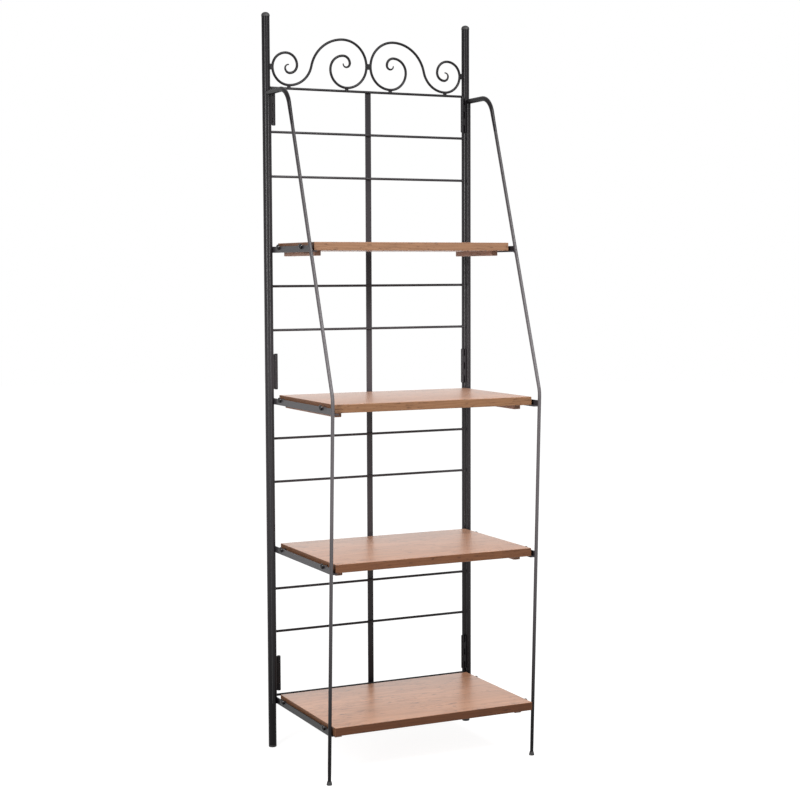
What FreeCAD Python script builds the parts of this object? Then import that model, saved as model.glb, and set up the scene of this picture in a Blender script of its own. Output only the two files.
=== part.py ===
import FreeCAD, Part

import math
import os

# A bakers rack: a steel back frame, two side frames hinged to its posts, and four pine
# shelves whose pegs drop into slots in the side frames' brackets.
#
# Millimetres. +X is to the right, +Y to the back, +Z up. The pieces are built with the
# post axes in the plane Y = 0, and moved at the end so that the origin is the middle of
# the rack's box, on the floor.

V = FreeCAD.Vector

# ---------------------------------------------------------------- back frame
rack_height = 1829.0            # floor to the top of a post's cap
post_spacing = 552.0            # between the post axes
post_diameter = 20.0
post_wall = 1.5
cap_diameter = 21.0             # domed cap on a post's top
cap_collar_height = 2.5
cap_dome_height = 8.0
foot_plug_height = 5.0          # plug under a post
foot_plug_round = 2.0
stem_length = 14.0              # of a cap or plug inside its tube
stem_clearance = 0.1
rod_diameter = 6.3              # rails, back rods and scrolls
crest_height = 182.5            # top rail to the top of the post's cap
bottom_rail_height = 131.5
rod_pair_count = 4              # pairs of back rods, in equal bays between the rails
rod_pair_offset = 162.5         # a bay's foot to its lower rod
rod_pair_gap = 108.8            # between the rods of a pair
centre_bar_width = 15.0
centre_bar_thickness = 3.0

# ---------------------------------------------------------------- crest scrolls
# A scroll is one rod bent in tangent arcs. Radii are those of quarter turns.
large_curl_radii = (44.0, 35.0, 18.0, 10.0, 8.0)        # from the large curl's foot to its end
arch_radii = (54.7, 64.0)                               # from the same foot up to the arch's top
small_curl_radii = (42.8, 36.0, 29.0, 20.0, 11.5, 9.0)  # from the small curl's foot to its end
shoulder_share = 0.587          # the upper bend between arch and small curl, of both bends' radii
scroll_end_diameter = 3.0       # the drawn-out ends
scroll_taper_turns = 2          # quarter turns that taper at each end
crest_gap = 5.0                 # between the two scrolls
crest_post_gap = 3.8            # between a scroll and its post
crest_rail_gap = 2.2            # between a scroll and the top rail
weld_block_length = 14.0        # the blocks at the posts and between the scrolls
weld_block_depth = 5.0
rail_block_length = 8.0         # the block under each curl

# ---------------------------------------------------------------- butt hinges
hinge_height = 86.0
lower_hinge_middle = 190.0      # floor to the middle of the hinge
middle_hinge_middle = 949.5
upper_hinge_drop = 35.0         # arm to the middle of the upper hinge
knuckle_diameter = 9.0
knuckle_count = 5
knuckle_gap = 0.3
hinge_pin_diameter = 4.6
hinge_pin_head_diameter = 7.6
hinge_pin_head_height = 1.4
hinge_pin_clearance = 0.05
leaf_thickness = 2.0
leaf_clearance = 0.4            # from a leaf to the other leaf's knuckles
pivot_offset = 1.0              # hinge axis in front of the post's front

# ---------------------------------------------------------------- side frames
leg_diameter = 8.5
stile_diameter = 12.0           # the side frame's rear bar
stile_gap = 0.4                 # between a stile and its post
side_toe_in = 0.6               # degrees that the arm and leg lean inwards from the stile
arm_depth = 196.0               # top of the post's cap to the arm
arm_diameter = 13.0
arm_neck_diameter = 10.0        # where the arm leaves its bend
arm_bend_radius = 57.0
arm_drop = 95.0                 # from the arm's corner down to its joint with the leg
leg_top_reach = 133.3           # the leg's line at the arm's height
leg_kink_height = 905.0
leg_kink_reach = 389.5
leg_kink_radius = 60.0
leg_foot_reach = 354.5
glide_diameter = 13.0           # foot under a front leg
glide_neck_diameter = 10.0
glide_base_height = 2.5
glide_height = 9.0
angle_width = 15.0              # both flanges of a bracket's angle iron
angle_thickness = 3.0
bracket_overlap = 2.0           # past the stile's axis

# ---------------------------------------------------------------- shelves
board_thickness = 20.0
board_round = 1.2
board_back_reach = 27.0         # a board's back edge in front of the post axis
board_width = 520.0
bottom_board_width = 528.0
board_depth = 345.0
top_board_depth = 230.0
bottom_shelf_height = 138.2     # floor to the board's top
lower_shelf_height = 521.5
upper_shelf_height = 892.0
top_shelf_height = 1265.6
rear_peg_inset = 36.0           # from a board's back edge
front_peg_inset = 50.0          # from a board's front edge
peg_rise = 10.0                 # from a board's underside to the pegs' axes
peg_diameter = 5.0
peg_depth = 22.0                # in the board
peg_head_diameter = 13.0
peg_head_rim = 2.5
peg_head_height = 6.0
peg_head_clearance = 0.4        # from the head to the bracket
peg_slot_clearance = 0.5        # on each side of the peg
cleat_width = 18.0
cleat_thickness = 12.0
cleat_inset = 13.0              # from the board's end
cleat_front_setback = 32.0
cleat_back_setback = 8.0
cleat_chamfer = 1.0
screw_diameter = 4.0
screw_head_diameter = 7.6
screw_head_height = 2.4
screw_point_height = 3.0
screw_length = 28.0
screw_inset = 60.0              # from a cleat's ends
screws_per_cleat = 3

# ---------------------------------------------------------------- derived places
top_rail_height = rack_height - crest_height
arm_height = rack_height - arm_depth
post_x = post_spacing / 2
post_radius = post_diameter / 2
stem_radius = post_radius - post_wall - stem_clearance
rod_radius = rod_diameter / 2
arm_radius = arm_diameter / 2
arm_neck_radius = arm_neck_diameter / 2
leg_radius = leg_diameter / 2
stile_radius = stile_diameter / 2
knuckle_radius = knuckle_diameter / 2
stile_y = -(post_radius + stile_gap + stile_radius)
pivot_x = post_x - post_radius - knuckle_radius
pivot_y = -(post_radius + pivot_offset)
bracket_face_x = post_x - leg_radius
scroll_low = top_rail_height + rod_diameter + crest_rail_gap
arm_corner = V(post_x, -leg_top_reach, arm_height)
leg_kink = V(post_x, -leg_kink_reach, leg_kink_height)
leg_foot = V(post_x, -leg_foot_reach, 0)
hinge_middles = (lower_hinge_middle, middle_hinge_middle, arm_height - upper_hinge_drop)
shelves = (
    # name, height of the board's top, board width, board depth
    ("bottom", bottom_shelf_height, bottom_board_width, board_depth),
    ("lower", lower_shelf_height, board_width, board_depth),
    ("upper", upper_shelf_height, board_width, board_depth),
    ("top", top_shelf_height, board_width, top_board_depth),
)


# ---------------------------------------------------------------- shape helpers
def box(low, high):
    """A box from its lowest corner to its highest."""
    size = high - low
    return Part.makeBox(size.x, size.y, size.z, low)


def cylinder(start, end, radius):
    """A round bar between two points."""
    run = end - start
    return Part.makeCylinder(radius, run.Length, start, run)


def revolved(profile, base, axis):
    """A solid turned from (radius, distance) points about an axis through base."""
    points = [V(radius, 0, along) for radius, along in profile]
    solid = Part.Face(Part.makePolygon(points + points[:1])).revolve(V(0, 0, 0), V(0, 0, 1), 360)
    solid.Placement = FreeCAD.Placement(base, FreeCAD.Rotation(V(0, 0, 1), axis))
    return solid


def domed(radius, rim, height, steps=8):
    """Profile points of a domed end: a straight rim, then a quarter ellipse to the axis."""
    angles = [math.pi / 2 * step / steps for step in range(steps)]
    side = [(radius * math.cos(angle), rim + (height - rim) * math.sin(angle)) for angle in angles]
    return side + [(0, height)]


def bent_path(start, corner, end, radius):
    """Two straight runs joined at a corner by a tangent arc, as three edges."""
    back = (start - corner).normalize()
    ahead = (end - corner).normalize()
    middle = (back + ahead).normalize()
    half_angle = back.getAngle(ahead) / 2
    tangent = radius / math.tan(half_angle)
    arc_start = corner + back * tangent
    arc_middle = corner + middle * (radius / math.sin(half_angle) - radius)
    arc_end = corner + ahead * tangent
    return [
        Part.LineSegment(start, arc_start).toShape(),
        Part.Arc(arc_start, arc_middle, arc_end).toShape(),
        Part.LineSegment(arc_end, end).toShape(),
    ]


def turned_path(start, heading, turns):
    """Tangent arcs in the plane Y = 0, from (radius, angle) turns. A left turn is positive."""
    edges = []
    for radius, angle in turns:
        left = V(-math.sin(heading), 0, math.cos(heading))
        centre = start + left * math.copysign(radius, angle)
        spoke = start - centre
        middle = centre + FreeCAD.Rotation(V(0, -1, 0), math.degrees(angle / 2)).multVec(spoke)
        end = centre + FreeCAD.Rotation(V(0, -1, 0), math.degrees(angle)).multVec(spoke)
        edges.append(Part.Arc(start, middle, end).toShape())
        start = end
        heading += angle
    return edges


def section(edge, at_end, radius):
    """A circle across an edge, at its end or its start."""
    place = edge.LastParameter if at_end else edge.FirstParameter
    return Part.Wire(Part.Circle(edge.valueAt(place), edge.tangentAt(place), radius).toShape())


def rod_along(edges, radius):
    """A round rod of one size along tangent edges."""
    return Part.Wire(edges).makePipeShell([section(edges[0], False, radius)], True, False)


def tapered_along(edge, start_radius, end_radius):
    """A round rod along one edge that changes size evenly."""
    sections = [section(edge, False, start_radius), section(edge, True, end_radius)]
    return Part.Wire(edge).makePipeShell(sections, True, False)


def fused(shapes):
    """One solid from pieces that touch or overlap."""
    return shapes[0].fuse(shapes[1:]).removeSplitter()


def mirrored(shape):
    """The same piece on the rack's other side."""
    return shape.mirror(V(0, 0, 0), V(1, 0, 0))


def both_sides(right_pieces):
    """The right side's pieces and the left side's, as one group."""
    return Part.makeCompound(right_pieces + [mirrored(piece) for piece in right_pieces])


# ---------------------------------------------------------------- back frame
def post_tube():
    """The right post, from its foot plug to its cap."""
    bottom = V(post_x, 0, foot_plug_height)
    top = V(post_x, 0, rack_height - cap_collar_height - cap_dome_height)
    return cylinder(bottom, top, post_radius).cut(cylinder(bottom, top, post_radius - post_wall))


def post_core():
    """The right post as a solid bar, for shaping what meets it."""
    return cylinder(V(post_x, 0, 0), V(post_x, 0, rack_height), post_radius)


def post_cap():
    """The domed cap in the top of the right post."""
    cap_height = cap_collar_height + cap_dome_height
    stem = [(0, -stem_length), (stem_radius, -stem_length), (stem_radius, 0), (cap_diameter / 2, 0)]
    dome = domed(cap_diameter / 2, cap_collar_height, cap_height)
    return revolved(stem + dome, V(post_x, 0, rack_height - cap_height), V(0, 0, 1))


def foot_plug():
    """The plug under the right post, with a flat foot and a rounded rim."""
    flange = cylinder(V(post_x, 0, 0), V(post_x, 0, foot_plug_height), post_radius)
    rim = [edge for edge in flange.Edges if edge.BoundBox.ZMax < foot_plug_height / 2]
    stem = cylinder(V(post_x, 0, foot_plug_round), V(post_x, 0, foot_plug_height + stem_length), stem_radius)
    return fused([flange.makeFillet(foot_plug_round, rim), stem])


def cross_rod(height, posts):
    """A rod from post to post, with its ends shaped to the tubes."""
    return cylinder(V(-post_x, 0, height), V(post_x, 0, height), rod_radius).cut(posts)


def centre_bar():
    """The flat upright behind the rods, from the bottom rail to the top one."""
    low = V(-centre_bar_width / 2, rod_radius, bottom_rail_height - rod_radius)
    high = V(centre_bar_width / 2, rod_radius + centre_bar_thickness, top_rail_height + rod_radius)
    return box(low, high)


# ---------------------------------------------------------------- crest
large_foot_x = crest_gap / 2 + rod_radius + arch_radii[0]
small_foot_x = post_x - post_radius - crest_post_gap - rod_radius - small_curl_radii[0]


def curled_rod(edges):
    """A scroll's rod along edges, with its last quarter turns drawn out to a round end."""
    plain, taper = edges[:-scroll_taper_turns], edges[-scroll_taper_turns:]
    end_radius = scroll_end_diameter / 2
    loss = (rod_radius - end_radius) / scroll_taper_turns
    pieces = [rod_along(plain, rod_radius)]
    for index, edge in enumerate(taper):
        pieces.append(tapered_along(edge, rod_radius - index * loss, rod_radius - (index + 1) * loss))
    pieces.append(Part.makeSphere(end_radius, taper[-1].valueAt(taper[-1].LastParameter)))
    return pieces


def scroll():
    """The right scroll: a large curl, an arch and a small curl, in one rod."""
    quarter = math.pi / 2
    rise = sum(arch_radii)
    run = small_foot_x - (large_foot_x - arch_radii[0] + arch_radii[1])
    sweep = 2 * math.atan2(rise, run)
    both = run / math.sin(sweep)
    shoulder = [(both * shoulder_share, -sweep), (both * (1 - shoulder_share), sweep)]
    foot = V(large_foot_x, 0, scroll_low)
    inward = turned_path(foot, 0, [(radius, quarter) for radius in large_curl_radii])
    arch = [(radius, -quarter) for radius in arch_radii]
    small_curl = [(radius, quarter) for radius in small_curl_radii]
    outward = turned_path(foot, math.pi, arch + shoulder + small_curl)
    return fused(curled_rod(inward) + curled_rod(outward))


def weld_blocks(rail, posts, scrolls):
    """The blocks that join the scrolls to the posts, to each other and to the top rail."""
    half_depth = weld_block_depth / 2
    half_length = weld_block_length / 2
    arch_side = V(crest_gap / 2 + rod_radius, 0, scroll_low + arch_radii[0])
    curl_side = V(small_foot_x + small_curl_radii[0], 0, scroll_low + small_curl_radii[0])
    reach = V(0, half_depth, half_length)
    at_post = box(curl_side - reach, V(post_x, 0, curl_side.z) + reach)
    blocks = [box(V(-arch_side.x, 0, arch_side.z) - reach, arch_side + reach), at_post, mirrored(at_post)]
    for foot_x in (large_foot_x, small_foot_x):
        half_block = V(rail_block_length / 2, half_depth, 0)
        block = box(V(foot_x, 0, top_rail_height) - half_block, V(foot_x, 0, scroll_low) + half_block)
        blocks += [block, mirrored(block)]
    return Part.makeCompound([block.cut([rail, posts] + scrolls) for block in blocks])


# ---------------------------------------------------------------- hinges
def leaf(middle, own, bore_radius, low_y, carrier):
    """A leaf of a right hinge: a plate shaped to its carrier, with the knuckles numbered in own."""
    bottom = middle - hinge_height / 2
    plate_x = pivot_x + knuckle_radius + leaf_clearance
    high_y = low_y + leaf_thickness
    length = (hinge_height - knuckle_gap * (knuckle_count - 1)) / knuckle_count
    pieces = [box(V(plate_x, low_y, bottom), V(post_x, high_y, bottom + hinge_height)).cut(carrier)]
    for number in own:
        low = V(pivot_x, pivot_y, bottom + number * (length + knuckle_gap))
        high = low + V(0, 0, length)
        pieces.append(cylinder(low, high, knuckle_radius))
        pieces.append(box(V(pivot_x, low_y, low.z), V(plate_x, high_y, high.z)))
    bore = cylinder(V(pivot_x, pivot_y, bottom), V(pivot_x, pivot_y, bottom + hinge_height), bore_radius)
    return fused(pieces).cut(bore)


def fixed_leaf(middle, post):
    """The leaf on the right post, which holds the pin tight."""
    low_y = pivot_y + knuckle_radius - leaf_thickness
    return leaf(middle, range(0, knuckle_count, 2), hinge_pin_diameter / 2, low_y, post)


def moving_leaf(middle, frame):
    """The leaf on the right side frame's stile, which turns on the pin."""
    bore_radius = hinge_pin_diameter / 2 + hinge_pin_clearance
    return leaf(middle, range(1, knuckle_count, 2), bore_radius, pivot_y - knuckle_radius, frame)


def hinge_pin(middle):
    """The pin of a right hinge, with a flat head at each end."""
    radius, head_radius = hinge_pin_diameter / 2, hinge_pin_head_diameter / 2
    neck = hinge_height / 2
    end = neck + hinge_pin_head_height
    upper = [(radius, neck), (head_radius, neck), (head_radius, end), (0, end)]
    lower = [(place, -along) for place, along in reversed(upper)]
    return revolved(lower + upper, V(pivot_x, pivot_y, middle), V(0, 0, 1))


# ---------------------------------------------------------------- side frames
def leg_line_y(height):
    """Where the leg's straight runs are, at a height."""
    if height > leg_kink_height:
        share = (height - leg_kink_height) / (arm_height - leg_kink_height)
        return leg_kink.y + share * (arm_corner.y - leg_kink.y)
    return leg_foot.y + (height / leg_kink_height) * (leg_kink.y - leg_foot.y)


def toed_in(piece):
    """A right arm or leg, turned inwards about the stile's axis."""
    return piece.rotated(V(post_x, stile_y, 0), V(0, 0, 1), -side_toe_in)


def arm_joint():
    """Where the arm ends and the leg begins."""
    return arm_corner + (leg_kink - arm_corner).normalize() * arm_drop


def arm():
    """The right arm: a bar from the stile, drawn down through its bend to the leg's size."""
    start = V(post_x, stile_y + stile_radius, arm_height)
    bar, bend, neck = bent_path(start, arm_corner, arm_joint(), arm_bend_radius)
    return fused([
        rod_along([bar], arm_radius),
        tapered_along(bend, arm_radius, arm_neck_radius),
        tapered_along(neck, arm_neck_radius, leg_radius),
    ])


def leg_path():
    """The axis of the right leg, from the arm to the glide."""
    end = leg_foot + (leg_kink - leg_foot) * (glide_base_height / leg_kink_height)
    return bent_path(arm_joint(), leg_kink, end, leg_kink_radius)


def glide(leg):
    """The small foot under the right leg, bored to the leg."""
    profile = [
        (0, 0), (glide_diameter / 2, 0), (glide_diameter / 2, glide_base_height),
        (glide_neck_diameter / 2, glide_height), (0, glide_height),
    ]
    return toed_in(revolved(profile, leg_foot, V(0, 0, 1))).cut(leg)


def stile_bar(bottom):
    """The right stile's bar, from the lowest bracket up to the arm's axis."""
    return cylinder(V(post_x, stile_y, bottom), V(post_x, stile_y, arm_height), stile_radius)


def bracket_bottom(shelf_height):
    """The underside of the bracket that carries a shelf."""
    return shelf_height - board_thickness - angle_thickness


def bracket(shelf_height, slot_places, bars):
    """The right bracket under a shelf: an angle iron coped to its bars, with an open slot for each peg."""
    bottom = bracket_bottom(shelf_height)
    top = bottom + angle_width
    rear = stile_y + bracket_overlap
    front = leg_line_y(bottom + angle_width / 2)
    flange_x = bracket_face_x - angle_thickness
    upright = box(V(flange_x, front, bottom), V(bracket_face_x, rear, top))
    ledge_low = V(bracket_face_x - angle_width, front, bottom)
    ledge = box(ledge_low, V(bracket_face_x, rear, bottom + angle_thickness))
    slot_radius = peg_diameter / 2 + peg_slot_clearance
    slots = []
    for slot_y in slot_places:
        inner = V(flange_x, slot_y, peg_height(shelf_height))
        slots.append(cylinder(inner, inner + V(angle_thickness, 0, 0), slot_radius))
        slots.append(box(inner - V(0, slot_radius, 0), V(bracket_face_x, slot_y + slot_radius, top)))
    return fused([upright, ledge]).cut(slots + bars)


# ---------------------------------------------------------------- shelves
def peg(board_end, peg_y, height):
    """A right-hand peg: a shank screwed into the board's end and a domed head outside the bracket."""
    head_x = bracket_face_x + peg_head_clearance
    tip = board_end - peg_depth - head_x
    profile = [(0, tip), (peg_diameter / 2, tip), (peg_diameter / 2, 0), (peg_head_diameter / 2, 0)]
    profile += domed(peg_head_diameter / 2, peg_head_rim, peg_head_height)
    return revolved(profile, V(head_x, peg_y, height), V(1, 0, 0))


def cleat_bar(board_end, rear, front, top):
    """The right-hand cleat's bar, under a board."""
    outer = board_end - cleat_inset
    bar = box(V(outer - cleat_width, front, top - cleat_thickness), V(outer, rear, top))
    free_edges = [edge for edge in bar.Edges if edge.BoundBox.ZMin < top - cleat_thickness / 2]
    return bar.makeChamfer(cleat_chamfer, free_edges)


def screw(place):
    """A countersunk screw that points up from a place on a cleat's underside."""
    radius = screw_diameter / 2
    profile = [
        (0, 0), (screw_head_diameter / 2, 0), (radius, screw_head_height),
        (radius, screw_length - screw_point_height), (0, screw_length),
    ]
    return revolved(profile, place, V(0, 0, 1))


def peg_places(depth):
    """Where a shelf's rear and front pegs are along Y."""
    return -board_back_reach - rear_peg_inset, -board_back_reach - depth + front_peg_inset


def peg_height(shelf_height):
    """Where a shelf's pegs are along Z."""
    return shelf_height - board_thickness + peg_rise


def screw_places(cleat_rear, cleat_front):
    """Where a cleat's screws are along Y."""
    first = cleat_rear - screw_inset
    step = (cleat_front + screw_inset - first) / (screws_per_cleat - 1)
    return [first + index * step for index in range(screws_per_cleat)]


def shelf(shelf_height, width, depth):
    """A shelf's pieces by name."""
    end = width / 2
    rear = -board_back_reach
    front = rear - depth
    underside = shelf_height - board_thickness
    right_pegs = [peg(end, peg_y, peg_height(shelf_height)) for peg_y in peg_places(depth)]
    cleat_rear = rear - cleat_back_setback
    cleat_front = front + cleat_front_setback
    screw_start = V(end - cleat_inset - cleat_width / 2, 0, underside - cleat_thickness)
    right_screws = [screw(screw_start + V(0, y, 0)) for y in screw_places(cleat_rear, cleat_front)]
    pieces = {"pegs": both_sides(right_pegs), "screws": both_sides(right_screws)}
    board = box(V(-end, front, underside), V(end, rear, shelf_height))
    board = board.makeFillet(board_round, board.Edges)
    pieces["board"] = board.cut(pieces["pegs"].Solids + pieces["screws"].Solids)
    pieces["right_cleat"] = cleat_bar(end, cleat_rear, cleat_front, underside).cut(right_screws)
    pieces["left_cleat"] = mirrored(pieces["right_cleat"])
    return pieces


# ---------------------------------------------------------------- assembly
def back_frame_nodes():
    """The nodes that stay still: posts, rails, rods, crest, fixed leaves and pins."""
    core = post_core()
    posts = core.fuse(mirrored(core))
    nodes = {"right_post": post_tube()}
    nodes["left_post"] = mirrored(nodes["right_post"])
    nodes["post_caps"] = both_sides([post_cap()])
    nodes["post_foot_plugs"] = both_sides([foot_plug()])
    nodes["bottom_rail"] = cross_rod(bottom_rail_height, posts)
    nodes["top_rail"] = cross_rod(top_rail_height, posts)
    bay_height = (top_rail_height - bottom_rail_height) / rod_pair_count
    for pair in range(rod_pair_count):
        low = bottom_rail_height + pair * bay_height + rod_pair_offset
        nodes["back_rod_%d" % (2 * pair + 1)] = cross_rod(low, posts)
        nodes["back_rod_%d" % (2 * pair + 2)] = cross_rod(low + rod_pair_gap, posts)
    nodes["centre_bar"] = centre_bar()
    nodes["right_scroll"] = scroll()
    nodes["left_scroll"] = mirrored(nodes["right_scroll"])
    scrolls = [nodes["right_scroll"], nodes["left_scroll"]]
    nodes["scroll_weld_blocks"] = weld_blocks(nodes["top_rail"], posts, scrolls)
    nodes["right_fixed_leaves"] = Part.makeCompound([fixed_leaf(middle, core) for middle in hinge_middles])
    nodes["left_fixed_leaves"] = mirrored(nodes["right_fixed_leaves"])
    nodes["hinge_pins"] = both_sides([hinge_pin(middle) for middle in hinge_middles])
    return nodes


def side_frame_pieces():
    """The right side frame's pieces by name."""
    pieces = {"arm": toed_in(arm()), "leg": toed_in(rod_along(leg_path(), leg_radius))}
    bar = stile_bar(bracket_bottom(bottom_shelf_height))
    pieces["stile"] = bar.cut(pieces["arm"])
    pieces["glide"] = glide(pieces["leg"])
    for name, shelf_height, _, depth in shelves:
        pieces[name + "_bracket"] = bracket(shelf_height, peg_places(depth), [pieces["leg"], bar])
    frame = bar.fuse(pieces["arm"])
    pieces["moving_leaves"] = Part.makeCompound([moving_leaf(middle, frame) for middle in hinge_middles])
    return pieces


def rack_nodes():
    """Every node of the rack by name, with the post axes at Y = 0."""
    nodes = back_frame_nodes()
    for name, piece in side_frame_pieces().items():
        nodes["right_" + name] = piece
        nodes["left_" + name] = mirrored(piece)
    for name, shelf_height, width, depth in shelves:
        for piece_name, piece in shelf(shelf_height, width, depth).items():
            nodes["%s_shelf_%s" % (name, piece_name)] = piece
    return nodes


def post_axis_y():
    """Where the post axes lie once the origin is the middle of the rack's box."""
    front = toed_in(Part.Wire(leg_path())).BoundBox.YMin - leg_radius
    back = max(post_diameter, cap_diameter) / 2
    return -(front + back) / 2


os.makedirs("parts", exist_ok=True)
for node, shape in rack_nodes().items():
    shape.translate(V(0, post_axis_y(), 0))
    shape.exportStep("parts/%s.step" % node)
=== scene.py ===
"""The looks of a bakers rack: satin black powder-coated steel and lacquered pine shelves."""

import logging
import math
import random
from dataclasses import dataclass
from enum import Enum

import bmesh
import bpy
from mathutils import Matrix, Vector


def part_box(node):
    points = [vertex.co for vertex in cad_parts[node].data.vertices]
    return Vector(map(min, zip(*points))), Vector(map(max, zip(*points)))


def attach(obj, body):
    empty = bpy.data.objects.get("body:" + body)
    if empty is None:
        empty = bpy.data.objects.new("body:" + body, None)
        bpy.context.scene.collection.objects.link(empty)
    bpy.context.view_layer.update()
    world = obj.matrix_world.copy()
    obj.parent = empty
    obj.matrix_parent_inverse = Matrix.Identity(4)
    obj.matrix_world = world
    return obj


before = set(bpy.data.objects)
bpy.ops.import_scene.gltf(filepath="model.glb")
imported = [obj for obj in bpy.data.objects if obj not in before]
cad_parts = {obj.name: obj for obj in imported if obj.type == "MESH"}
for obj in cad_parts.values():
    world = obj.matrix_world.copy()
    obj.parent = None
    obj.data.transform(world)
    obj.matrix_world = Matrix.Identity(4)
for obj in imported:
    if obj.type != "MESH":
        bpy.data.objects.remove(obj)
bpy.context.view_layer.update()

MM = 0.001
LOG = logging.getLogger("bakers_rack")

Material = bpy.types.Material
Mesh = bmesh.types.BMesh
Socket = bpy.types.NodeSocket
Tree = bpy.types.NodeTree
Point = tuple[float, float, float]
Span = tuple[float, float]      # the two ends of a range

WHITE = (1.0, 1.0, 1.0, 1.0)
MIX_A, MIX_B, MIX_COLOUR = 6, 7, 2      # a colour Mix node's two inputs and its output, by place
NOISE_SPAN = {"From Min": 0.3, "From Max": 0.7}     # where nearly all of a noise's values lie


class Labelled(Enum):
    """A choice whose name is a part of the names of nodes and bodies."""

    @property
    def label(self) -> str:
        """The name as the nodes and bodies spell it."""
        return self.name.lower()


class Side(Labelled):
    """A side of the rack, with the sign of its X."""

    LEFT = -1
    RIGHT = 1


class Level(Labelled):
    """A shelf, with the number that makes its grain its own."""

    BOTTOM = 3
    LOWER = 11
    UPPER = 23
    TOP = 37


# what the boards' long edges are multiplied by, which leaves them a greyed tan on the top shelf
# and darker on each shelf below it, down to a red brown: painted shade that deepens down the rack
EDGE_SHADE_TINTS = {Level.BOTTOM: "#85735f", Level.LOWER: "#a4998d", Level.UPPER: "#c7cbc4", Level.TOP: "#d1dadd"}


class Grain(Enum):
    """Which way a piece's grain runs: the axis along it, and the one across it."""

    LENGTHWAYS = ("X", "Y")
    FRONT_TO_BACK = ("Y", "X")


# ---------------------------------------------------------------- materials
def linear(hex_colour: str) -> tuple[float, float, float, float]:
    """Turns an sRGB hex colour into linear red, green, blue and a full alpha.

    Args:
        hex_colour: Six hex digits after a hash.

    Returns:
        The colour as Blender's sockets take it.
    """
    shares = [int(hex_colour[place:place + 2], 16) / 255 for place in (1, 3, 5)]
    return (*[s / 12.92 if s <= 0.04045 else ((s + 0.055) / 1.055) ** 2.4 for s in shares], 1.0)


def scale_of(size_mm: float) -> float:
    """The scale at which a texture in metres has lumps of about this size."""
    return 1 / (size_mm * MM)


def add_node(
    tree: Tree,
    kind: str,
    inputs: dict[str | int, object] | None = None,
    output: str | int = 0,
    **settings: object,
) -> Socket | None:
    """Adds a node with its settings and links.

    Args:
        tree: The node tree of a material or of the world.
        kind: The node's type, without the word ShaderNode.
        inputs: An input's name or place, to its value or to the socket that feeds it.
        output: The name or place of the output that is wanted.
        settings: The node's own settings by name.

    Returns:
        That output, or None for a node that has none.
    """
    node = tree.nodes.new("ShaderNode" + kind)
    for name, value in settings.items():
        setattr(node, name, value)
    for name, value in (inputs or {}).items():
        if isinstance(value, bpy.types.NodeSocket):
            tree.links.new(value, node.inputs[name])
        else:
            node.inputs[name].default_value = value
    return node.outputs[output] if node.outputs else None


def new_tree(name: str) -> tuple[Material, Tree]:
    """Makes an empty node material.

    Args:
        name: The finish's plain name.

    Returns:
        The material and its node tree.
    """
    material = bpy.data.materials.new(name)
    material.use_nodes = True
    material.node_tree.nodes.clear()
    return material, material.node_tree


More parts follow.
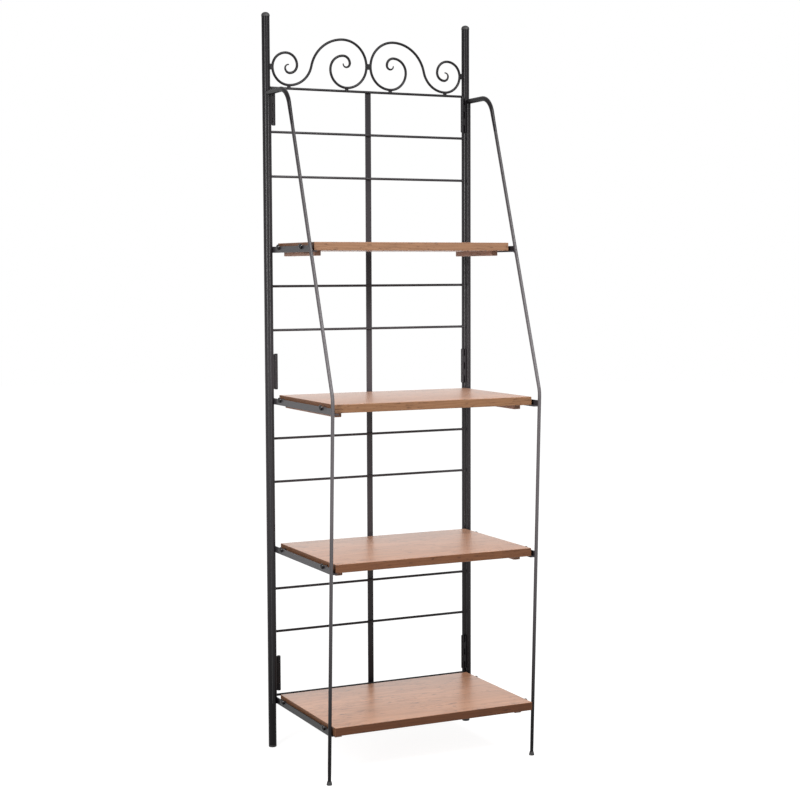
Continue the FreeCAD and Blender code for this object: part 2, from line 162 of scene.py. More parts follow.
@dataclass(frozen=True)
class PowderCoat:
    """Polyester powder coat, baked on mild steel.

    The powder melts into a satin skin with a fine orange peel, so highlights run along a tube
    as soft streaks with a slightly broken edge. Painted shade darkens it and takes gloss off it
    by the floor and up at the crest, and it is left paler and glossier between, most of all
    from the knee to the waist.
    """

    name: str
    deep: str
    dusty: str
    shade_colour: str = "#0d0b0d"      # the painted shade's colour, by the floor and at the crest
    roughness: Span = (0.27, 0.33)
    gloss: float = 0.3          # a matting agent in the powder takes some off what the skin throws back, and more under the painted shade
    shade_gloss: float = 0.13   # and more where no hand has polished it
    peel_mm: float = 2.5        # drawn coarser than the real peel of 1 mm, which wouldn't show
    peel_detail: float = 1.0
    peel_height_mm: float = 0.05
    peel_strength: float = 0.035
    cloud_mm: float = 120.0     # of the slow drift between the two colours
    cloud_detail: float = 3.0
    lit_from_mm: Span = (100.0, 640.0)       # height at which the painted shade starts to lift, and has lifted and where it starts to come back, and is full again
    lit_to_mm: Span = (950.0, 1800.0)        # and where it wanes, and has ended

    def material(self) -> Material:
        """Builds the finish.

        Returns:
            The material.
        """
        material, tree = new_tree(self.name)
        place = add_node(tree, "TexCoord", output="Object")
        cloud_look = {"Scale": scale_of(self.cloud_mm), "Detail": self.cloud_detail}
        cloud = add_node(tree, "TexNoise", {"Vector": place, **cloud_look})
        peel_look = {"Scale": scale_of(self.peel_mm), "Detail": self.peel_detail}
        peel = add_node(tree, "TexNoise", {"Vector": place, **peel_look})
        coats = {MIX_A: linear(self.deep), MIX_B: linear(self.dusty)}
        colour = add_node(tree, "Mix", {"Factor": cloud, **coats}, MIX_COLOUR, data_type="RGBA")
        # painted shade: the coat darkens towards its shade colour by the floor and at the crest
        lit = self._lit_by_height(tree, place)
        shading = {"Factor": lit, MIX_A: linear(self.shade_colour), MIX_B: colour}
        colour = add_node(tree, "Mix", shading, MIX_COLOUR, data_type="RGBA")
        low, high = self.roughness
        rough = add_node(tree, "MapRange", {"Value": cloud, **NOISE_SPAN, "To Min": low, "To Max": high})
        relief = {"Strength": self.peel_strength, "Distance": self.peel_height_mm * MM}
        bump = add_node(tree, "Bump", {"Height": peel, **relief})
        # and the painted shade takes gloss off, by the same share
        gloss_span = {"To Min": self.shade_gloss, "To Max": self.gloss}
        gloss = add_node(tree, "MapRange", {"Value": lit, **gloss_span})
        inputs = {"Base Color": colour, "Roughness": rough, "Specular IOR Level": gloss, "Normal": bump}
        shader = add_node(tree, "BsdfPrincipled", inputs)
        add_node(tree, "OutputMaterial", {"Surface": shader})
        return material

    def _lit_by_height(self, tree: Tree, place: Socket) -> Socket:
        """Finds how far the coat is out of its painted shade, by height.

        Args:
            tree: The material's tree.
            place: The place on the rack.

        Returns:
            From 0, in full painted shade, to 1.
        """
        height = add_node(tree, "SeparateXYZ", {"Vector": place}, "Z")
        shares = []
        for unlit, lit in (self.lit_from_mm, reversed(self.lit_to_mm)):
            ends = {"From Min": unlit * MM, "From Max": lit * MM}
            shares.append(add_node(tree, "MapRange", {"Value": height, **ends}))
        return add_node(tree, "Math", dict(enumerate(shares)), operation="MINIMUM")


@dataclass(frozen=True)
class MouldedPlastic:
    """Injection-moulded black polyethylene: dull, with the fine grain of the mould's wall."""

    name: str = "Moulded_black_polyethylene"
    colour: str = "#1b1a1a"
    roughness: Span = (0.52, 0.68)
    grain_mm: float = 1.5       # drawn coarser than the mould's texture of about 0.2 mm
    grain_detail: float = 2.0
    grain_height_mm: float = 0.06
    grain_strength: float = 0.5

    def material(self) -> Material:
        """Builds the finish.

        Returns:
            The material.
        """
        material, tree = new_tree(self.name)
        place = add_node(tree, "TexCoord", output="Object")
        grain_look = {"Scale": scale_of(self.grain_mm), "Detail": self.grain_detail}
        grain = add_node(tree, "TexNoise", {"Vector": place, **grain_look})
        relief = {"Strength": self.grain_strength, "Distance": self.grain_height_mm * MM}
        bump = add_node(tree, "Bump", {"Height": grain, **relief})
        low, high = self.roughness
        rough = add_node(tree, "MapRange", {"Value": grain, "To Min": low, "To Max": high})
        inputs = {"Base Color": linear(self.colour), "Roughness": rough, "Normal": bump}
        shader = add_node(tree, "BsdfPrincipled", inputs)
        add_node(tree, "OutputMaterial", {"Surface": shader})
        return material


@dataclass(frozen=True)
class TurnedSteel:
    """Turned steel with a thin plated or blacked skin, which handling has left dull in spots."""

    name: str
    bright: str
    dull: str
    metallic: float
    roughness: Span
    spot_mm: float = 6.0
    spot_detail: float = 4.0

    def material(self) -> Material:
        """Builds the finish.

        Returns:
            The material.
        """
        material, tree = new_tree(self.name)
        place = add_node(tree, "TexCoord", output="Object")
        spot_look = {"Scale": scale_of(self.spot_mm), "Detail": self.spot_detail}
        spots = add_node(tree, "TexNoise", {"Vector": place, **spot_look})
        skins = {MIX_A: linear(self.bright), MIX_B: linear(self.dull)}
        colour = add_node(tree, "Mix", {"Factor": spots, **skins}, MIX_COLOUR, data_type="RGBA")
        low, high = self.roughness
        rough = add_node(tree, "MapRange", {"Value": spots, **NOISE_SPAN, "To Min": low, "To Max": high})
        inputs = {"Base Color": colour, "Metallic": self.metallic, "Roughness": rough}
        shader = add_node(tree, "BsdfPrincipled", inputs)
        add_node(tree, "OutputMaterial", {"Surface": shader})
        return material


@dataclass(frozen=True)
class Streaks:
    """Noise that is drawn out along the grain, and how much finer noise is laid on it."""

    length_mm: float
    width_mm: float
    detail: float


@dataclass(frozen=True)
class LacqueredPine:
    """Pine, edge-glued from finger-jointed staves, sanded and lacquered with a clear satin coat.

    Each length of stave is cut from another part of a log, so it has its own tone and its own
    growth rings, which run as streaks along the top and as arcs on the ends. The end grain
    drinks in the lacquer and is darker.
    """

    name: str
    early: str = "#b58567"      # wood that grew in spring
    late: str = "#925f41"       # and in summer
    late_share: float = 0.6
    fleck: str = "#53352a"
    fleck_share: float = 0.85
    seam: str = "#7d5236"
    seam_share: float = 0.45
    tone: Span = (0.9, 1.06)            # of the darkest length and the lightest
    fibre_tone: Span = (0.82, 1.16)     # of the darkest fibre and the lightest
    fibre_span: Span = (0.25, 0.75)     # and the noise in the one and in the other
    end_tint: str = "#aea69d"           # what the end grain's colour is multiplied by
    edge_shade_tint: str = "#ffffff"          # and the long edges', which each shelf darkens the lower it stands: painted shade
    tinted_from: Span = (0.6, 0.9)      # how far a surface has turned where its tint starts, and is full

    grain: Grain = Grain.LENGTHWAYS
    stave_mm: float = 46.0
    length_mm: float = 270.0
    seam_width_mm: float = 0.7
    ring_mm: float = 7.0        # wider than the real 2 or 3 mm, so that the rings show
    ring_sharpness: float = 2.2         # the greater, the narrower a year's late wood
    pith_aside_mm: float = 40.0         # how far a pith may lie to each side of its stave's middle,
    pith_depth_mm: Span = (12.0, 75.0)  # and under the board
    pith_slope: float = 0.05            # and how far it may climb along the grain, of the way gone
    sway: Streaks = Streaks(220.0, 45.0, 2.0)
    sway_mm: float = 16.0       # how far the rings wander as they run along
    fibre: Streaks = Streaks(60.0, 2.6, 3.0)
    dashes: Streaks = Streaks(22.0, 3.6, 2.0)
    dash_edge: Span = (0.6, 0.66)       # the noise at a dash's rim, and where it is full
    patches: Streaks = Streaks(110.0, 40.0, 1.0)
    patch_edge: Span = (0.4, 0.52)
    relief_mm: float = 0.12     # of the fibres over the late wood
    relief_strength: float = 0.3

    roughness: Span = (0.46, 0.56)
    gloss: float = 0.25         # of the bare wood; the lacquer over it has its own
    lacquer_roughness: float = 0.3
    lacquer_ior: float = 1.62   # over a varnish's usual 1.5, for the shine of a thick coat
    lacquer_sheen_cover: Span = (0.5, 1.0)    # of the top: thin at the front and full at the rear, a painted reflection of the rear's stronger sheen
    depth_mm: float = 345.0     # over which the cover grows to full
    seed: float = 0.0

    def material(self, origin: Vector) -> Material:
        """Builds the finish for one board.

        Args:
            origin: The board's lowest corner, which the staves are counted from.

        Returns:
            The material.
        """
        material, tree = new_tree(self.name)
        place = add_node(tree, "TexCoord", output="Object")
        corner = add_node(tree, "VectorMath", {0: place, 1: tuple(origin)}, operation="SUBTRACT")
        axes = add_node(tree, "SeparateXYZ", {"Vector": corner}).node.outputs
        along, across, up = (axes[name] for name in (*self.grain.value, "Z"))
        local = add_node(tree, "CombineXYZ", {"X": along, "Y": across, "Z": up})
        stave, chance = self._cells(tree, along, across)
        rings = self._rings(tree, local, (along, across, up), stave, chance)
        fibre = self._streaks(tree, local, self.fibre)
        flecks = self._flecks(tree, local)
        seams = self._seams(tree, across, stave)
        colour = self._colour(tree, place, chance, rings, fibre, flecks, seams)
        low, high = self.roughness
        rough = add_node(tree, "MapRange", {"Value": fibre, **NOISE_SPAN, "To Min": low, "To Max": high})
        height = add_node(tree, "Math", {0: fibre, 1: rings}, operation="SUBTRACT")
        relief = {"Strength": self.relief_strength, "Distance": self.relief_mm * MM}
        bump = add_node(tree, "Bump", {"Height": height, **relief})
        wood = {"Base Color": colour, "Roughness": rough, "Specular IOR Level": self.gloss, "Normal": bump}
        lacquer = {
            "Coat Weight": self._cover(tree, place, across), "Coat Roughness": self.lacquer_roughness,
            "Coat IOR": self.lacquer_ior, "Coat Normal": bump,
        }
        shader = add_node(tree, "BsdfPrincipled", {**wood, **lacquer})
        add_node(tree, "OutputMaterial", {"Surface": shader})
        return material

    def _cover(self, tree: Tree, place: Socket, across: Socket) -> Socket:
        """Finds the lacquer's weight: growing from front to rear for a painted reflection, on the top and the
        underside only, and none on the edges.

        Args:
            tree: The material's tree.
            place: The texture coordinates, whose node also gives the surface's direction.
            across: The place across the staves.

        Returns:
            The lacquer's weight.
        """
        thin, full = self.lacquer_sheen_cover
        board = {"From Max": self.depth_mm * MM, "To Min": thin, "To Max": full}
        spread = add_node(tree, "MapRange", {"Value": across, **board})
        upright = add_node(tree, "SeparateXYZ", {"Vector": place.node.outputs["Normal"]}, "Z")
        flat = add_node(tree, "Math", {0: upright}, operation="ABSOLUTE")
        return add_node(tree, "Math", {0: spread, 1: flat}, operation="MULTIPLY")

    def _cells(self, tree: Tree, along: Socket, across: Socket) -> tuple[Socket, Socket]:
        """Numbers the staves, and draws three chances for each length of a stave.

        Args:
            tree: The material's tree.
            along: The place along the grain.
            across: The place across the staves.

        Returns:
            The stave's number, and the length's chances as a colour.
        """
        staves = add_node(tree, "Math", {0: across, 1: self.stave_mm * MM}, operation="DIVIDE")
        stave = add_node(tree, "Math", {0: staves}, operation="FLOOR")
        seeded = add_node(tree, "Math", {0: stave, 1: self.seed}, operation="ADD")
        shift = add_node(tree, "TexWhiteNoise", {"W": seeded}, noise_dimensions="1D")
        lengths = add_node(tree, "Math", {0: along, 1: self.length_mm * MM}, operation="DIVIDE")
        shifted = add_node(tree, "Math", {0: lengths, 1: shift}, operation="ADD")
        length = add_node(tree, "Math", {0: shifted}, operation="FLOOR")
        cell = add_node(tree, "CombineXYZ", {"X": seeded, "Y": length})
        chance = add_node(tree, "TexWhiteNoise", {"Vector": cell}, "Color", noise_dimensions="3D")
        return stave, chance

    def _rings(
        self, tree: Tree, local: Socket, axes: tuple[Socket, Socket, Socket], stave: Socket, chance: Socket
    ) -> Socket:
        """Draws the growth rings of each length about a pith of its own.

        Args:
            tree: The material's tree.
            local: The place in the board.
            axes: That place's three parts.
            stave: The stave's number.
            chance: The length's chances.

        Returns:
            How late in its year the wood grew, from 0 to 1.
        """
        along, across, up = axes
        chances = add_node(tree, "SeparateColor", {"Color": chance}).node.outputs
        middle = add_node(tree, "Math", {0: stave, 1: 0.5}, operation="ADD")
        aside = self.pith_aside_mm * MM
        pith = add_node(tree, "MapRange", {"Value": chances[0], "To Min": -aside, "To Max": aside})
        centre = add_node(tree, "Math", {0: middle, 1: self.stave_mm * MM, 2: pith}, operation="MULTIPLY_ADD")
        sideways = add_node(tree, "Math", {0: across, 1: centre}, operation="SUBTRACT")
        near, far = (depth * MM for depth in self.pith_depth_mm)
        depth = add_node(tree, "MapRange", {"Value": chances[1], "To Min": near, "To Max": far})
        upwards = add_node(tree, "Math", {0: up, 1: depth}, operation="ADD")
        spoke = add_node(tree, "CombineXYZ", {"Y": sideways, "Z": upwards})
        radius = add_node(tree, "VectorMath", {0: spoke}, "Value", operation="LENGTH")
        slopes = {"To Min": -self.pith_slope, "To Max": self.pith_slope}
        slope = add_node(tree, "MapRange", {"Value": chances[2], **slopes})
        sloped = add_node(tree, "Math", {0: along, 1: slope, 2: radius}, operation="MULTIPLY_ADD")
        sway = self._streaks(tree, local, self.sway)
        swayed = add_node(tree, "Math", {0: sway, 1: self.sway_mm * MM, 2: sloped}, operation="MULTIPLY_ADD")
        years = add_node(tree, "Math", {0: swayed, 1: self.ring_mm * MM}, operation="DIVIDE")
        season = add_node(tree, "Math", {0: years}, operation="FRACT")
        return add_node(tree, "Math", {0: season, 1: self.ring_sharpness}, operation="POWER")

    def _streaks(self, tree: Tree, local: Socket, streaks: Streaks) -> Socket:
        """Draws noise that is drawn out along the grain.

        Args:
            tree: The material's tree.
            local: The place in the board.
            streaks: The noise's sizes.

        Returns:
            The noise, about 0.5.
        """
        width = scale_of(streaks.width_mm)
        scale = (scale_of(streaks.length_mm), width, width)
        stretched = add_node(tree, "VectorMath", {0: local, 1: scale}, operation="MULTIPLY")
        shift = (self.seed, self.seed, 0.0)
        moved = add_node(tree, "VectorMath", {0: stretched, 1: shift}, operation="ADD")
        return add_node(tree, "TexNoise", {"Vector": moved, "Scale": 1.0, "Detail": streaks.detail})

    def _flecks(self, tree: Tree, local: Socket) -> Socket:
        """Draws the short dark dashes, which lie in patches.

        Args:
            tree: The material's tree.
            local: The place in the board.

        Returns:
            A share, 1 in the middle of a fleck.
        """
        shares = []
        for streaks, (rim, full) in ((self.dashes, self.dash_edge), (self.patches, self.patch_edge)):
            noise = self._streaks(tree, local, streaks)
            shares.append(add_node(tree, "MapRange", {"Value": noise, "From Min": rim, "From Max": full}))
        return add_node(tree, "Math", dict(enumerate(shares)), operation="MULTIPLY")

    def _seams(self, tree: Tree, across: Socket, stave: Socket) -> Socket:
        """Draws the glue lines between staves.

        Args:
            tree: The material's tree.
            across: The place across the staves.
            stave: The stave's number.

        Returns:
            1 on a glue line, and 0 elsewhere.
        """
        start = add_node(tree, "Math", {0: stave, 1: self.stave_mm * MM}, operation="MULTIPLY")
        inside = add_node(tree, "Math", {0: across, 1: start}, operation="SUBTRACT")
        return add_node(tree, "Math", {0: inside, 1: self.seam_width_mm * MM}, operation="LESS_THAN")

    def _colour(
        self,
        tree: Tree,
        place: Socket,
        chance: Socket,
        rings: Socket,
        fibre: Socket,
        flecks: Socket,
        seams: Socket,
    ) -> Socket:
        """Lays the wood's colours over each other.

        Args:
            tree: The material's tree.
            place: The texture coordinates, whose node also gives the surface's direction.
            chance: The length's chances.
            rings: How late in its year the wood grew.
            fibre: The fibres' noise.
            flecks: Where the dark dashes are.
            seams: Where the glue lines are.

        Returns:
            The colour.
        """
        colour = linear(self.early)
        layers = (
            (rings, self.late_share, self.late),
            (flecks, self.fleck_share, self.fleck),
            (seams, self.seam_share, self.seam),
        )
        for where, strength, layer in layers:
            share = add_node(tree, "Math", {0: where, 1: strength}, operation="MULTIPLY")
            coats = {"Factor": share, MIX_A: colour, MIX_B: linear(layer)}
            colour = add_node(tree, "Mix", coats, MIX_COLOUR, data_type="RGBA")
        dark, pale = self.tone
        tone = add_node(tree, "MapRange", {"Value": chance, "To Min": dark, "To Max": pale})
        dark, pale = self.fibre_tone
        low, high = self.fibre_span
        fibres = {"From Min": low, "From Max": high, "To Min": dark, "To Max": pale}
        light = add_node(tree, "MapRange", {"Value": fibre, **fibres})
        level = add_node(tree, "Math", {0: tone, 1: light}, operation="MULTIPLY")
        colour = add_node(tree, "VectorMath", {0: colour, "Scale": level}, operation="SCALE")
        facing = add_node(tree, "SeparateXYZ", {"Vector": place.node.outputs["Normal"]}).node.outputs
        start, full = self.tinted_from
        # the long edges' tint is painted shade, darker on each lower shelf
        for axis, tint in zip(self.grain.value, (self.end_tint, self.edge_shade_tint)):
            turned = add_node(tree, "Math", {0: facing[axis]}, operation="ABSOLUTE")
            share = add_node(tree, "MapRange", {"Value": turned, "From Min": start, "From Max": full})
            tints = {"Factor": share, MIX_A: colour, MIX_B: linear(tint)}
            colour = add_node(tree, "Mix", tints, MIX_COLOUR, data_type="RGBA", blend_type="MULTIPLY")
        return colour


def dress(node: str, material: Material) -> None:
    """Gives a carried-over node its finish.

    Args:
        node: The node's name.
        material: The finish.
    """
    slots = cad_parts[node].data.materials
    slots.clear()
    slots.append(material)
    LOG.info("%s: %s", node, material.name)


# ---------------------------------------------------------------- welds
def bridge(mesh: Mesh, rings: list[list[bmesh.types.BMVert]]) -> None:
    """Lays faces between rings of as many points each.

    Args:
        mesh: The mesh that the points are in.
        rings: The rings, in order.
    """
    for lower, upper in zip(rings, rings[1:]):
        for index in range(len(lower)):
            after = (index + 1) % len(lower)
            mesh.faces.new((lower[index], lower[after], upper[after], upper[index]))


@dataclass(frozen=True)
class WeldBead:
    """A weld bead: a run of small overlapping lumps with round ends."""

    radius: float
    section_length: float = 1.1 * MM
    least_sections: int = 6
    sides: int = 8
    lump: float = 0.16              # how far the lumps stand out, of the radius
    lump_turn: float = 2.2          # how far their wave goes on from section to section
    unevenness: float = 0.06        # how far a section may be off that, at random
    tip: float = 0.12               # the tips' radius, of the full one
    bluntness: int = 8              # the greater, the nearer to its tips the bead stays full

    def lay(self, mesh: Mesh, start: Vector, end: Vector, rng: random.Random) -> None:
        """Adds the bead to a mesh.

        Args:
            mesh: The mesh to add to.
            start: Where the bead starts.
            end: Where it ends.
            rng: Where the lumps' sizes come from.
        """
        run = end - start
        side = run.orthogonal().normalized()
        across = run.cross(side).normalized()
        sections = max(self.least_sections, round(run.length / self.section_length))
        angles = [2 * math.pi * step / self.sides for step in range(self.sides)]
        spokes = [side * math.cos(angle) + across * math.sin(angle) for angle in angles]
        rings = []
        for index in range(sections + 1):
            share = index / sections
            uneven = rng.uniform(-self.unevenness, self.unevenness)
            lump = 1 + self.lump * math.sin(index * self.lump_turn) + uneven
            fullness = math.sqrt(max(0.0, 1 - (2 * share - 1) ** self.bluntness))
            size = self.radius * lump * (self.tip + (1 - self.tip) * fullness)
            centre = start + run * share
            rings.append([mesh.verts.new(centre + spoke * size) for spoke in spokes])
        bridge(mesh, rings)
        mesh.faces.new(reversed(rings[0]))
        mesh.faces.new(rings[-1])


@dataclass(frozen=True)
class WeldCollar:
    """The hollow fillet where a rod meets a tube at right angles."""

    rod_radius: float
    tube_radius: float
    leg: float                      # how far the weld reaches along the rod and over the tube
    sides: int = 20
    steps: int = 5                  # from the tube's skin up to the rod's
    ripple: float = 0.12            # how far the rim's waves go, of the leg
    ripples: int = 3                # waves to a turn
    unevenness: float = 0.04        # how far a point may be off that, at random

    def lay(self, mesh: Mesh, place: Matrix, rng: random.Random) -> None:
        """Adds the fillet to a mesh.

        Args:
            mesh: The mesh to add to.
            place: The tube's centre, with X out along the rod and Z along the tube.
            rng: Where the weld's unevenness comes from.
        """
        rings = []
        for step in range(self.steps + 1):
            turn = math.pi / 2 * step / self.steps
            ring = []
            for index in range(self.sides):
                angle = 2 * math.pi * index / self.sides
                wave = self.ripple * math.sin(self.ripples * angle + step)
                reach = self.leg * (1 + wave + rng.uniform(-self.unevenness, self.unevenness))
                spread = self.rod_radius + reach * (1 - math.sin(turn))
                height = reach * (1 - math.cos(turn))
                y, z = spread * math.cos(angle), spread * math.sin(angle)
                surface = math.sqrt(max(0.0, self.tube_radius ** 2 - y ** 2))
                ring.append(mesh.verts.new(place @ Vector((surface + height, y, z))))
            rings.append(ring)
        bridge(mesh, rings)


def finished_piece(name: str, mesh: Mesh, body: str, material: Material) -> None:
    """Makes a piece of the object from a mesh and sets it on its body.

    Args:
        name: The piece's name.
        mesh: Its mesh, which is used up.
        body: The body that it rides on.
        material: Its finish.
    """
    bmesh.ops.recalc_face_normals(mesh, faces=mesh.faces)
    data = bpy.data.meshes.new(name)
    mesh.to_mesh(data)
    mesh.free()
    data.materials.append(material)
    data.shade_smooth()
    piece = bpy.data.objects.new(name, data)
    bpy.context.scene.collection.objects.link(piece)
    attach(piece, body)
    LOG.info("%s: %d faces on %s", name, len(data.polygons), body)


def middle_of(node: str) -> Vector:
    """The middle of a node's box."""
    low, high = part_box(node)
    return (low + high) / 2


# ---------------------------------------------------------------- sub-assemblies
@dataclass
class BackFrame:
    """The welded back frame: posts, rods, centre bar and crest, with the leaves that hold the pins."""

    coat: Material
    rod_coat: Material
    plastic: Material
    pin_steel: Material
    rod_radius: float = 3.15 * MM
    post_radius: float = 10 * MM
    weld_leg: float = 2.2 * MM
    weld_seed: int = 5
    tack: WeldBead = WeldBead(1.1 * MM)
    tack_rise: float = 0.62         # from a rod's axis, of its radius
    tack_inset: float = 1 * MM      # from the bar's edges
    tack_proud: float = 0.3 * MM    # of the bar's front
    tack_seed: int = 6
    back_rods: tuple[str, ...] = tuple(f"back_rod_{number}" for number in range(1, 9))

    def build(self) -> None:
        """Dresses the nodes and adds the welds."""
        for node in ("left_post", "right_post", "left_scroll", "right_scroll", "scroll_weld_blocks",
                     "left_fixed_leaves", "right_fixed_leaves", "top_rail"):
            dress(node, self.coat)
        # the rods, bar and bottom rail take the paler copy of the coat: painted light
        for node in ("centre_bar", "bottom_rail", *self.back_rods):
            dress(node, self.rod_coat)
        for node in ("post_caps", "post_foot_plugs"):
            dress(node, self.plastic)
        dress("hinge_pins", self.pin_steel)
        rods = ("bottom_rail", "top_rail", *self.back_rods)
        self._rod_welds(rods)
        self._bar_tacks(rods)

    def _rod_welds(self, rods: tuple[str, ...]) -> None:
        """Adds a hollow fillet round each rod's ends.

        Args:
            rods: The nodes of the rails and back rods.
        """
        collar = WeldCollar(self.rod_radius, self.post_radius, self.weld_leg)
        mesh = bmesh.new()
        rng = random.Random(self.weld_seed)
        for rod in rods:
            height = middle_of(rod).z
            for side in Side:
                post = middle_of(f"{side.label}_post")
                turn = Matrix.Rotation(math.pi if side is Side.RIGHT else 0.0, 4, "Z")
                collar.lay(mesh, Matrix.Translation((post.x, post.y, height)) @ turn, rng)
        finished_piece("rod_welds", mesh, "back_frame", self.coat)

    def _bar_tacks(self, rods: tuple[str, ...]) -> None:
        """Adds the tacks that hold the centre bar, over and under each rod.

        Args:
            rods: The nodes of the rails and back rods.
        """
        mesh = bmesh.new()
        rng = random.Random(self.tack_seed)
        low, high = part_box("centre_bar")
        front = low.y - self.tack_proud
        for rod in rods:
            axis = middle_of(rod).z
            for up in (-1, 1):
                height = axis + up * self.rod_radius * self.tack_rise
                start = Vector((low.x + self.tack_inset, front, height))
                end = Vector((high.x - self.tack_inset, front, height))
                self.tack.lay(mesh, start, end, rng)
        finished_piece("centre_bar_tacks", mesh, "back_frame", self.coat)


@dataclass
class SideFrame:
    """A side frame: stile, arm, leg and brackets, and the leaves that turn on the pins."""

    side: Side
    coat: Material
    leg_coat: Material
    bracket_coat: Material
    plastic: Material
    bead: WeldBead = WeldBead(1.5 * MM)
    bead_proud: float = 0.3 * MM            # of the bracket's face
    stile_bead_inset: float = 4.6 * MM      # from the bracket's rear end
    leg_bead_inset: float = 4.2 * MM        # from its front end
    leg_bead_over: float = 2 * MM           # past the bracket, above and below
    bead_seed: int = 20

    def build(self) -> None:
        """Dresses the nodes and adds the welds."""
        label = self.side.label
        brackets = [f"{label}_{level.label}_bracket" for level in Level]
        for node in (f"{label}_stile", f"{label}_arm", f"{label}_moving_leaves"):
            dress(node, self.coat)
        # the leg takes the palest copy of the coat, for painted highlights, and the brackets a paler one, for
        # painted light
        dress(f"{label}_leg", self.leg_coat)
        for node in brackets:
            dress(node, self.bracket_coat)
        dress(f"{label}_glide", self.plastic)
        mesh = bmesh.new()
        rng = random.Random(self.side.value + self.bead_seed)
        for bracket in brackets:
            self._bracket_beads(mesh, bracket, rng)
        finished_piece(f"{label}_bracket_welds", mesh, f"{label}_side", self.bracket_coat)

    def _bracket_beads(self, mesh: Mesh, bracket: str, rng: random.Random) -> None:
        """Adds the beads that hold a bracket to the stile and to the leg.

        Args:
            mesh: The mesh to add to.
            bracket: The bracket's node.
            rng: Where the beads' unevenness comes from.
        """
        low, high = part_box(bracket)
        face_x = self.side.value * (max(abs(low.x), abs(high.x)) + self.bead_proud)
        stile_bead = (high.y - self.stile_bead_inset, 0.0)
        leg_bead = (low.y + self.leg_bead_inset, self.leg_bead_over)
        for y, over in (stile_bead, leg_bead):
            start = Vector((face_x, y, low.z - over))
            end = Vector((face_x, y, high.z + over))
            self.bead.lay(mesh, start, end, rng)


@dataclass
class Shelf:
    """A shelf: an edge-glued board on two cleats, with its pegs and screws."""

    level: Level
    peg_steel: Material
    screw_steel: Material
    cleat_lit_early: str = "#e0b8a6"        # paler than the boards' wood: painted light from the floor under the shelves
    cleat_lit_late: str = "#c0937f"
    cleat_seed_step: float = 0.5        # to either side of the board's own number

    def build(self) -> None:
        """Dresses the nodes, each board and cleat with a grain of its own."""
        label = f"{self.level.label}_shelf"
        board = LacqueredPine(
            f"Lacquered_pine_{self.level.label}_board",
            edge_shade_tint=EDGE_SHADE_TINTS[self.level],
            seed=float(self.level.value),
        )
        dress(f"{label}_board", board.material(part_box(f"{label}_board")[0]))
        dress(f"{label}_pegs", self.peg_steel)
        dress(f"{label}_screws", self.screw_steel)
        for side in Side:
            node = f"{label}_{side.label}_cleat"
            cleat = LacqueredPine(
                f"Lacquered_pine_{node}",
                early=self.cleat_lit_early,
                late=self.cleat_lit_late,
                grain=Grain.FRONT_TO_BACK,
                seed=self.level.value + self.cleat_seed_step * side.value,
            )
            dress(node, cleat.material(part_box(node)[0]))


# ---------------------------------------------------------------- stage
@dataclass(frozen=True)
class Viewpoint:
    """Where the camera stands and how it is turned."""

    place: Point = (-1.7650, -3.6591, 1.1964)
    yaw: float = math.radians(25.658)       # to the right of +Y
    pitch: float = math.radians(4.437)      # down
    roll: float = math.radians(-0.2206)
    lens_mm: float = 74.70
    sensor_mm: float = 36.0

    def build(self) -> None:
        """Makes the scene's camera."""
        reach = math.cos(self.pitch)
        ahead = Vector((math.sin(self.yaw) * reach, math.cos(self.yaw) * reach, -math.sin(self.pitch)))
        level_right = Vector((math.cos(self.yaw), -math.sin(self.yaw), 0.0))
        level_up = level_right.cross(ahead)
        right = math.cos(self.roll) * level_right + math.sin(self.roll) * level_up
        up = right.cross(ahead)
        data = bpy.data.cameras.new("camera")
        data.lens = self.lens_mm
        data.sensor_width = self.sensor_mm
        camera = bpy.data.objects.new("camera", data)
        turn = Matrix((right, up, -ahead)).transposed().to_4x4()
        camera.matrix_world = Matrix.Translation(self.place) @ turn
        bpy.context.scene.collection.objects.link(camera)
        bpy.context.scene.camera = camera


@dataclass(frozen=True)
class Softbox:
    """A rectangular area lamp that points at the rack, a little over its middle."""

    name: str
    place: Point
    width: float
    height: float
    watts: float
    target: Point = (0.0, 0.0, 1.1)

    def build(self) -> None:
        """Makes the lamp."""
        data = bpy.data.lights.new(self.name, "AREA")
        data.shape = "RECTANGLE"
        data.size = self.width
        data.size_y = self.height
        data.energy = self.watts
        lamp = bpy.data.objects.new(self.name, data)
        lamp.location = self.place
        aim = Vector(self.target) - Vector(self.place)
        lamp.rotation_euler = aim.to_track_quat("-Z", "Y").to_euler()
        lamp.visible_camera = False
        bpy.context.scene.collection.objects.link(lamp)


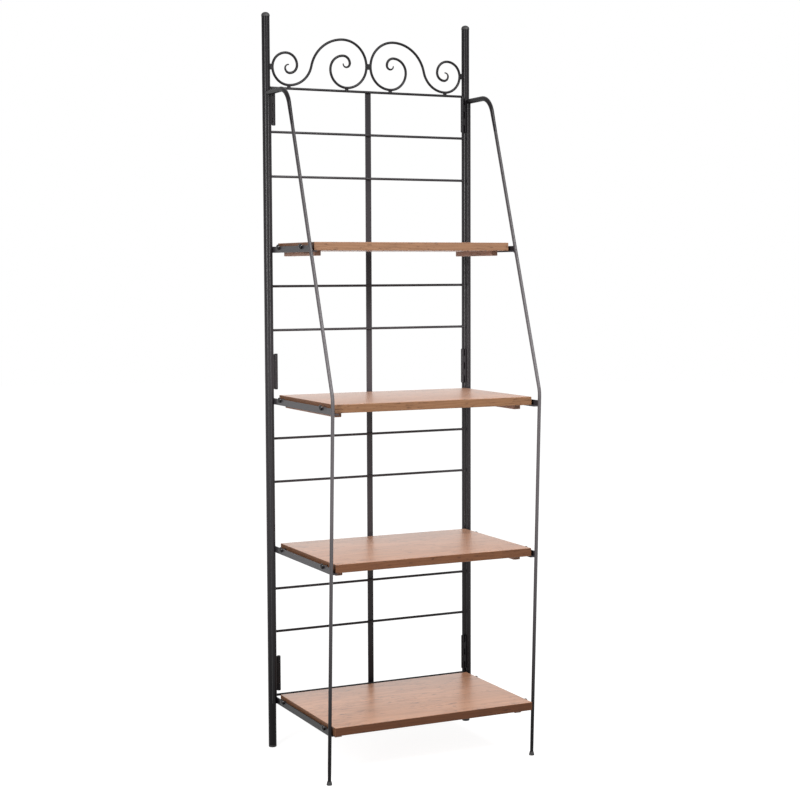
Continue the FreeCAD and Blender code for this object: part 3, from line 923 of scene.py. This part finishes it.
@dataclass(frozen=True)
class Studio:
    """A white studio: a pale floor, a white surround and soft lamps."""

    floor_radius: float = 14.0
    floor_sides: int = 96
    floor_paint: str = "#8f8f8f"        # grey to the lamps, so that it throws little light up
    floor_glow: Span = (0.92, 0.98)     # to the eye alone: by the rack, and out of the lamps' reach
    glow_distance: Span = (1.2, 4.0)    # metres out, where the one starts to give way to the other, and has
    surround_light: float = 0.22        # on the rack; to the eye the surround is white
    lamps: tuple[Softbox, ...] = (
        Softbox("key_softbox", (0.6, -2.7, 3.2), width=1.6, height=1.6, watts=162.0),
        Softbox("left_fill", (-2.4, -1.8, 1.7), width=0.7, height=1.6, watts=70.0),
    )

    def build(self) -> None:
        """Makes the floor, the surround and the lamps."""
        self._floor()
        self._surround()
        for lamp in self.lamps:
            lamp.build()
        bpy.context.scene.view_settings.view_transform = "Standard"

    def _seen(self, tree: Tree) -> Socket:
        """Whether a ray shows the surround as white: seen straight, in a gloss or through glass.

        Args:
            tree: The node tree.

        Returns:
            1 for such a ray, or 0.
        """
        rays = add_node(tree, "LightPath").node.outputs
        seen = rays["Is Camera Ray"]
        for ray in ("Is Glossy Ray", "Is Transmission Ray"):
            seen = add_node(tree, "Math", {0: seen, 1: rays[ray]}, operation="MAXIMUM")
        return seen

    def _floor(self) -> None:
        """Makes a round matt floor that is white to the eye and still takes the rack's shadow."""
        material, tree = new_tree("Matt_white_floor_paint")
        paint = add_node(tree, "BsdfDiffuse", {"Color": linear(self.floor_paint)})
        place = add_node(tree, "TexCoord", output="Object")
        distance = add_node(tree, "VectorMath", {0: place}, "Value", operation="LENGTH")
        (start, end), (near, far) = self.glow_distance, self.floor_glow
        fade = {"From Min": start, "From Max": end, "To Min": near, "To Max": far}
        level = add_node(tree, "MapRange", {"Value": distance, **fade})
        glow = add_node(tree, "Math", {0: self._seen(tree), 1: level}, operation="MULTIPLY")
        light = add_node(tree, "Emission", {"Color": WHITE, "Strength": glow})
        shader = add_node(tree, "AddShader", {0: paint, 1: light})
        add_node(tree, "OutputMaterial", {"Surface": shader})
        mesh = bmesh.new()
        bmesh.ops.create_circle(mesh, cap_ends=True, segments=self.floor_sides, radius=self.floor_radius)
        data = bpy.data.meshes.new("floor")
        mesh.to_mesh(data)
        mesh.free()
        data.materials.append(material)
        floor = bpy.data.objects.new("floor", data)
        bpy.context.scene.collection.objects.link(floor)

    def _surround(self) -> None:
        """Makes the white surround."""
        world = bpy.data.worlds.new("surround")
        world.use_nodes = True
        tree = world.node_tree
        tree.nodes.clear()
        levels = {"To Min": self.surround_light, "To Max": 1.0}
        level = add_node(tree, "MapRange", {"Value": self._seen(tree), **levels})
        light = add_node(tree, "Background", {"Color": WHITE, "Strength": level})
        add_node(tree, "OutputWorld", {"Surface": light})
        bpy.context.scene.world = world


def main() -> None:
    """Builds the camera, the studio and the rack."""
    logging.basicConfig(level=logging.INFO, format="%(name)s: %(message)s")
    Viewpoint().build()
    Studio().build()
    # one black powder in three copies: the darkest on the posts, arms and crest, a paler copy on
    # the rods and brackets for painted light, and the palest on the legs for painted highlights
    coat = PowderCoat("Satin_black_powder_coat", "#231f22", "#2b272a").material()
    paler_lit_coat = PowderCoat("Paler_lit_black_powder_coat", "#393538", "#433f42").material()
    highlit_coat = PowderCoat("Highlit_black_powder_coat", "#534f51", "#5d595b", gloss=0.2).material()
    plastic = MouldedPlastic().material()
    # a blacked skin is as dark as the coat with a harder shine, and zinc plate is pale and bright
    blacked = TurnedSteel("Blacked_steel", "#1d1a1b", "#121011", metallic=0.4, roughness=(0.24, 0.34))
    zinc = TurnedSteel("Zinc_plated_steel", "#b9b7ae", "#8f8d86", metallic=1.0, roughness=(0.25, 0.4))
    pin_steel, screw_steel = blacked.material(), zinc.material()
    BackFrame(coat, paler_lit_coat, plastic, pin_steel).build()
    for side in Side:
        SideFrame(side, coat, highlit_coat, paler_lit_coat, plastic).build()
    for level in Level:
        Shelf(level, pin_steel, screw_steel).build()


if __name__ == "__main__":
    main()
